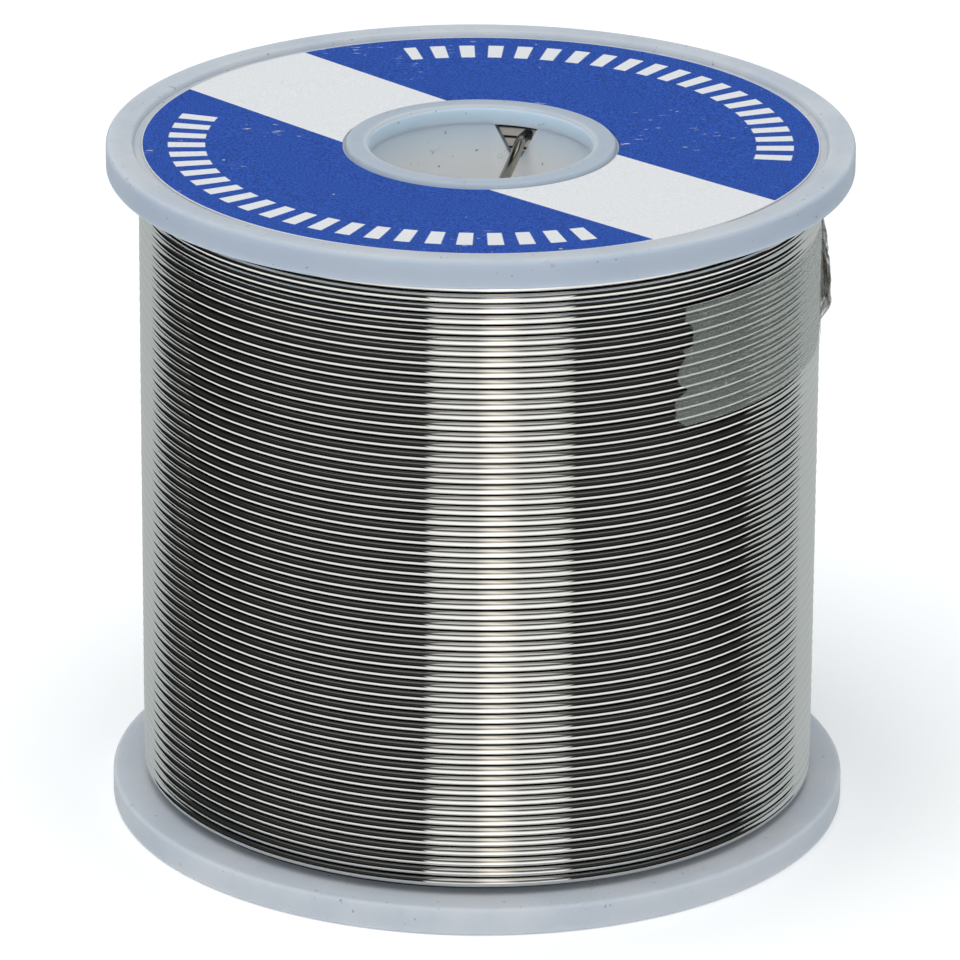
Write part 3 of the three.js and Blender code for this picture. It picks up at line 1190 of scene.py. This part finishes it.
@dataclass
class OuterEnd:
    """The wire's outer end: it leaves the last turn, climbs onto it and comes down under the tape."""

    spool: Spool
    winding: Winding
    lift: float = 0.1 * MM
    climb: tuple[Point, ...] = ((0.6, 0.0), (-3, 0.04), (-8, 0.42), (-13, 0.86))
    route: tuple[Point, ...] = (
        (215, 0.8),
        (190, 1.0),
        (165, 1.5),
        (140, 2.3),
        (122, 3.2),
        (111, 4.3),
        (105, 5.6),
        (101, 7.2),
        (98, 9.0),
        (96, 11.0),
    )
    points_per_knot: int = 12

    @property
    def radius(self) -> float:
        """Radius of its centreline where it lies on the outer layer."""
        return self.winding.crest_radius + self.lift + self.winding.diameter / 2

    def knots(self) -> list[Vector]:
        """Its centreline's knots.

        Returns:
            The knots from inside the last turn's end to the cut.
        """
        face = self.spool.upper_inner_face
        first = self.winding.top_end_deg
        drop = face - self.winding.top_height
        slide = self.route[0][1] * MM - drop
        low, high = self.winding.centre_radius, self.radius
        climb = [around(low + (high - low) * s, first + a, face - drop - slide * s) for a, s in self.climb]
        return climb + [around(high, degrees, face - down * MM) for degrees, down in self.route]

    def path(self) -> np.ndarray:
        """Its centreline, kept at its radius between the knots.

        Returns:
            Rows of x, y, z.
        """
        points = smooth_path(self.knots(), self.points_per_knot)
        flat = np.linalg.norm(points[:, :2], axis=1)
        on_top = degrees_of(points) < self.route[0][0]
        points[on_top, :2] *= (self.radius / flat[on_top])[:, None]
        return points

    def build(self) -> None:
        """Builds the wire's outer end."""
        obj = drawn_wire("cut_outer_end", self.path(), self.winding.diameter)
        finished(obj, "wire_outer_end", self.winding.finish)


@dataclass
class StartTail:
    """The wire's free start: out of the notch, over its edge and down inside the bore."""

    spool: Spool
    winding: Winding
    length: float = 35.2 * MM
    core_diameter: float = 0.3 * MM
    core_proud: float = 0.02 * MM
    core_sides: int = 10
    route: tuple[Triple, ...] = (
        (-1.2, -3.5, 0.5),
        (-0.6, -3.5, 0.5),
        (0.05, -3.4, 0.57),
        (0.64, -3.1, 0.94),
        (1.07, -2.3, 1.5),
        (1.4, -0.5, 2.2),
        (1.68, 3.3, 3.3),
        (1.84, 9.8, 5.0),
        (1.79, 17.6, 7.3),
        (1.66, 25.6, 10.1),
        (1.6, 32.6, 13.1),
        (1.61, 37.7, 16.1),
        (1.65, 40.2, 19.1),
        (1.71, 39.9, 22.1),
        (1.73, 37.1, 25.1),
        (1.7, 33.3, 28.1),
        (1.64, 30.9, 31.1),
        (1.61, 30.4, 33.1),
    )
    points_per_knot: int = 10
    flux: RosinFlux = field(default_factory=RosinFlux)
    finish: DrawnSolder = DrawnSolder(
        name="handled_solder",
        metal=(0.42203, 0.39361, 0.33757, 1.0),
        roughness=0.14,
        paints_crevice_shade=False,
    )

    def path(self) -> np.ndarray:
        """Its centreline from the notch to the cut.

        Returns:
            Rows of x, y, z.
        """
        knots = []
        for inset, past, down in self.route:
            radius = self.spool.bore_radius - inset * MM
            height = self.spool.upper_inner_face - down * MM
            knots.append(around(radius, self.spool.notch_deg + past, height))
        return smooth_path(knots, self.points_per_knot)

    def build(self) -> None:
        path = self.path()
        core_path = path.copy()
        ahead = path[-1] - path[-2]
        core_path[-1] += ahead / np.linalg.norm(ahead) * self.core_proud
        tail = drawn_wire("free_start_tail", path, self.winding.diameter)
        finished(tail, "wire_start_tail", self.finish)
        core = drawn_wire("flux_core", core_path, self.core_diameter, self.core_sides)
        finished(core, "start_tail_flux_core", self.flux)


@dataclass
class Tape:
    """The strip of clear tape over the wire's outer end: torn at the front, tented over the wire."""

    spool: Spool
    winding: Winding
    outer_end: OuterEnd
    width: float = 9.0 * MM
    drop: float = 3.6 * MM
    film: float = 0.05 * MM
    stand_off: float = 0.05 * MM
    ripple: float = 0.018 * MM
    far_deg: float = 168.0
    tent_gap: float = 0.02 * MM
    tent_top: float = 0.8
    tent_reach: float = 1.7 * MM
    loose_lift: Point = (0.05 * MM, 0.5 * MM)
    crumple: float = 0.12 * MM
    fold_steps: Triple = (1.1, 0.45, 2.0)
    fold_sharpness: float = 4.0
    torn_edge: tuple[Point, ...] = (
        (3.46, 35.8),
        (4.71, 35.5),
        (5.23, 37.2),
        (6.74, 37.3),
        (6.83, 35.0),
        (7.23, 36.0),
        (8.28, 34.4),
        (9.24, 34.2),
        (9.88, 36.3),
        (10.56, 33.8),
        (11.94, 34.0),
        (12.6, 35.9),
    )
    columns: int = 300
    rows: int = 36
    crease_deg: float = 50
    finish: ClearTape = field(default_factory=ClearTape)

    def tent(self, degrees: np.ndarray, drop: np.ndarray) -> np.ndarray:
        """How far the film stands off the winding because of the wire under it.

        Args:
            degrees: angle of each point.
            drop: distance of each point below the upper inner face.

        Returns:
            The lift of each point.
        """
        path = self.outer_end.path()
        wire_drop = self.spool.upper_inner_face - path[:, 2]
        scale = math.radians(1) * self.winding.crest_radius
        apart_x = (degrees[:, None] - degrees_of(path)[None, :]) * scale
        apart_z = drop[:, None] - wire_drop[None, :]
        near = np.sqrt((apart_x**2 + apart_z**2).min(axis=1))
        half = self.winding.diameter / 2
        full = self.winding.diameter + self.outer_end.lift + self.tent_gap
        return full * (1 - smooth(near, half * self.tent_top, half + self.tent_reach))

    def wrap(self, obj: bpy.types.Object) -> None:
        """Lays the flat grid round the winding, with a UV map in millimetres along and across the strip.

        Args:
            obj: a grid of unit size.
        """
        flat = vertices_of(obj)
        share, down = flat[:, 0] + 0.5, 0.5 - flat[:, 1]
        drop = self.drop + self.width * down
        torn = np.interp(drop / MM, *zip(*self.torn_edge))
        degrees = torn + (self.far_deg - torn) * share
        lift = self.tent(degrees, drop)
        radius = self.winding.crest_radius + self.stand_off + lift
        height = self.spool.upper_inner_face - drop
        waves = np.cos(2 * np.pi * (self.winding.top_height - height) / self.winding.diameter)
        rumple = np.array([self.rumple(a, z) for a, z in zip(degrees, height)])
        loose = smooth(lift, *self.loose_lift)
        radius += self.ripple * waves * (1 - loose) + self.crumple * rumple * loose
        put_vertices(obj, all_around(radius, degrees, height))
        along = np.radians(degrees) * self.winding.crest_radius
        put_uv(obj, np.stack([along, drop], axis=1) / MM)

    def rumple(self, degrees: float, height: float) -> float:
        """Sharp upright folds of loose film, from -1 to 1."""
        along, up, level = self.fold_steps
        return 1 - self.fold_sharpness * abs(noise.noise(Vector((degrees * along, height / MM * up, level))))

    def build(self) -> None:
        """Builds the strip."""
        bpy.ops.object.select_all(action="DESELECT")
        bpy.ops.mesh.primitive_grid_add(x_subdivisions=self.columns, y_subdivisions=self.rows, size=1)
        obj = added("clear_tape_strip")
        self.wrap(obj)
        with editing(obj):
            bpy.ops.mesh.normals_make_consistent(inside=False)
        apply_modifier(obj, "SOLIDIFY", thickness=self.film, offset=0)
        bpy.ops.object.shade_smooth_by_angle(angle=math.radians(self.crease_deg))
        finished(obj, "tape_strip", self.finish)


# ---------------------------------------------------------------- the studio


def placed(name: str, data: bpy.types.ID, place: Vector, ahead: Vector) -> bpy.types.Object:
    """Puts a camera or a light in the scene.

    Args:
        name: its name.
        data: the camera or the light.
        place: where it stands.
        ahead: the direction that it faces.

    Returns:
        Its object.
    """
    obj = bpy.data.objects.new(name, data)
    bpy.context.scene.collection.objects.link(obj)
    obj.location = place
    obj.rotation_mode = "QUATERNION"
    obj.rotation_quaternion = ahead.to_track_quat("-Z", "Y")
    return obj


@dataclass
class Viewpoint:
    """The camera."""

    lens_mm: float = 285.25
    sensor_mm: float = 36.0
    clip: Point = (0.02, 50.0)
    distance: float = 0.56146
    elevation_deg: float = 21.089
    roll_deg: float = 0.345
    target: Triple = (0.0865 * MM, 0.0, 24.543 * MM)

    def build(self) -> None:
        """Makes the camera and sets it as the scene's."""
        data = bpy.data.cameras.new("view")
        data.lens, data.sensor_width = self.lens_mm, self.sensor_mm
        data.clip_start, data.clip_end = self.clip
        angle = math.radians(self.elevation_deg)
        back = Vector((0, -math.cos(angle), math.sin(angle)))
        camera = placed("view", data, Vector(self.target) + back * self.distance, -back)
        roll = Quaternion((0, 0, 1), math.radians(self.roll_deg))
        camera.rotation_quaternion = camera.rotation_quaternion @ roll
        bpy.context.scene.camera = camera


@dataclass
class SoftLight:
    """A large square light aimed at the middle of the spool."""

    name: str
    place: Triple
    size: float
    power: float
    aim: Triple = (0.0, 0.0, 0.03)

    def build(self) -> None:
        """Makes the light; the studio walls stand in for it in reflections."""
        data = bpy.data.lights.new(self.name, "AREA")
        data.shape, data.size, data.energy = "SQUARE", self.size, self.power
        light = placed(self.name, data, Vector(self.place), Vector(self.aim) - Vector(self.place))
        light.visible_glossy = False
        light.visible_camera = False


@dataclass
class Studio:
    """A pale floor, soft lights, and the studio's walls as the shiny wire reflects them.

    Each stop of the side walls and of the window is an elevation in degrees, a brightness and a warmth.
    """

    floor_size: float = 12.0
    floor_drop: float = 0.01 * MM
    floor: Colour = (0.97, 0.975, 0.98, 1.0)
    floor_shade: float = 0.99
    floor_cloud: Grain = Grain(30)
    floor_roughness: float = 0.9
    floor_lift: float = 0.16
    ambient: Colour = (0.93, 0.97, 1.0, 1.0)
    ambient_strength: float = 0.52
    sides: tuple[Triple, ...] = (
        (-90, 1.0, 0.0),
        (-33, 1.0, 0.0),
        (-26, 0.01, 0.02),
        (-4, 0.01, 0.02),
        (15, 0.036, 0.02),
        (29, 0.032, 0.02),
        (42, 0.016, 0.02),
        (48, 0.15, 0.0),
        (90, 0.22, 0.0),
    )
    window: tuple[Triple, ...] = (
        (-90, 1.25, 0.0),
        (-28, 1.2, 0.0),
        (-13, 0.9, 0.0),
        (-2, 0.3, 0.02),
        (10, 0.1, 0.02),
        (25, 0.02, 0.03),
        (35, 0.68, 0.03),
        (47, 0.75, 0.03),
        (60, 0.52, 0.02),
        (80, 0.75, 0.0),
    )
    window_deg: Point = (-17.0, 31.0)
    window_soft_deg: float = 0.8
    streak: Colour = (0.44, 0.39, 0.34, 1.0)
    streak_deg: Point = (2.0, 12.0)
    streak_soft_deg: float = 4.0
    wall: Colour = (0.5, 0.535, 0.54, 1.0)
    wall_deg: Point = (132.0, -137.0)
    wall_soft_deg: float = 2.0
    wall_bulge_deg: Point = (22.0, 8.0)
    bulge_level_deg: Point = (2.0, 36.0)
    bulge_soft_deg: float = 5.0
    lights: tuple[SoftLight, ...] = (
        SoftLight("overhead", (-0.12, -0.2, 0.9), 0.8, 5.4),
        SoftLight("front_fill", (0.15, -0.8, 0.4), 0.5, 0.35),
    )

    def backdrop(self) -> None:
        """The floor, which the spool's shadow falls on."""
        bpy.ops.object.select_all(action="DESELECT")
        bpy.ops.mesh.primitive_plane_add(size=self.floor_size, location=(0, 0, -self.floor_drop))
        floor = added("studio_floor")
        material = bpy.data.materials.new("studio_floor")
        g = Graph(material)
        shade = tuple(self.floor_shade * part for part in self.floor[:3]) + (1.0,)
        cloud = g.noise(g.node("TexCoord", {}).outputs["Object"], self.floor_cloud)
        g.surface(
            {
                "Base Color": g.blend(cloud, shade, self.floor),
                "Roughness": self.floor_roughness,
                "Specular IOR Level": 0.0,
                "Emission Color": self.floor,
                "Emission Strength": self.floor_lift,
            }
        )
        floor.data.materials.append(material)
        floor.visible_glossy = False

    def ramp(self, g: Graph, elevation: object, stops: Sequence[Triple]) -> object:
        """Brightness by elevation.

        Args:
            g: the world's tree.
            elevation: elevation in degrees.
            stops: elevation, brightness and warmth of each stop.

        Returns:
            The colour.
        """
        node = g.node("ValToRGB", {0: g.math("ADD", g.math("DIVIDE", elevation, 180.0), 0.5)})
        elements = node.color_ramp.elements
        while len(elements) < len(stops):
            elements.new(0.5)
        for element, (degrees, light, warmth) in zip(elements, stops):
            element.position = degrees / 180 + 0.5
            element.color = (light * (1 + warmth), light, light * (1 - warmth), 1)
        return node.outputs[0]

    def walls(self, g: Graph) -> object:
        """The studio as the wire reflects it: a bright window in front, dark sides, a pale wall behind.

        Args:
            g: the world's tree.

        Returns:
            The colour by direction.
        """
        direction = g.node("TexCoord", {}).outputs["Generated"]
        degrees = g.times(g.turn(direction), 180 / math.pi)
        height = g.times(g.math("ARCSINE", g.split(direction)[2]), 180 / math.pi)
        framed = g.between(degrees, *self.window_deg, self.window_soft_deg)
        colour = g.blend(framed, self.ramp(g, height, self.sides), self.ramp(g, height, self.window))
        streak = g.between(degrees, *self.streak_deg, self.streak_soft_deg)
        colour = g.blend(streak, colour, self.streak, "ADD")
        (right, left), soft = self.wall_deg, self.wall_soft_deg
        level = g.between(height, *self.bulge_level_deg, self.bulge_soft_deg)
        on_right = g.plus(degrees, self.wall_bulge_deg[0], level)
        on_left = g.plus(degrees, -self.wall_bulge_deg[1], level)
        beyond = g.step(on_right, right - soft, right + soft)
        beyond = g.most(beyond, g.step(on_left, left - soft, left + soft, 1, 0))
        return g.blend(beyond, colour, self.wall)

    def surroundings(self) -> None:
        """The world: pale to the eye, soft white on matt surfaces and the studio's walls in shiny ones."""
        world = bpy.data.worlds.new("studio")
        bpy.context.scene.world = world
        g = Graph(world)
        rays = g.node("LightPath", {}).outputs
        soft = g.node("Background", {"Color": self.ambient, "Strength": self.ambient_strength}).outputs[0]
        walls = g.node("Background", {"Color": self.walls(g), "Strength": 1.0}).outputs[0]
        pale = g.node("Background", {"Color": self.floor, "Strength": 1.0}).outputs[0]
        shown = g.node("MixShader", {0: rays["Is Glossy Ray"], 1: soft, 2: walls}).outputs[0]
        shown = g.node("MixShader", {0: rays["Is Camera Ray"], 1: shown, 2: pale}).outputs[0]
        g.node("OutputWorld", {"Surface": shown})

    def build(self) -> None:
        """Makes the floor, the world and the lights."""
        self.backdrop()
        self.surroundings()
        for light in self.lights:
            light.build()
        bpy.context.scene.view_settings.view_transform = "Standard"



def main() -> None:
    """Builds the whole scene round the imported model."""
    logging.basicConfig(level=logging.INFO, format="%(name)s: %(message)s")
    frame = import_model()
    LOG.info("CAD nodes: %s", ", ".join(sorted(frame["nodes"])))
    Viewpoint().build()
    spool = Spool()
    winding = Winding(spool)
    outer_end = OuterEnd(spool, winding)
    StartTail(spool, winding).build()
    spool.build()
    Label(spool).build()
    winding.build()
    outer_end.build()
    Tape(spool, winding, outer_end).build()
    Studio().build()


if __name__ == "__main__":
    main()
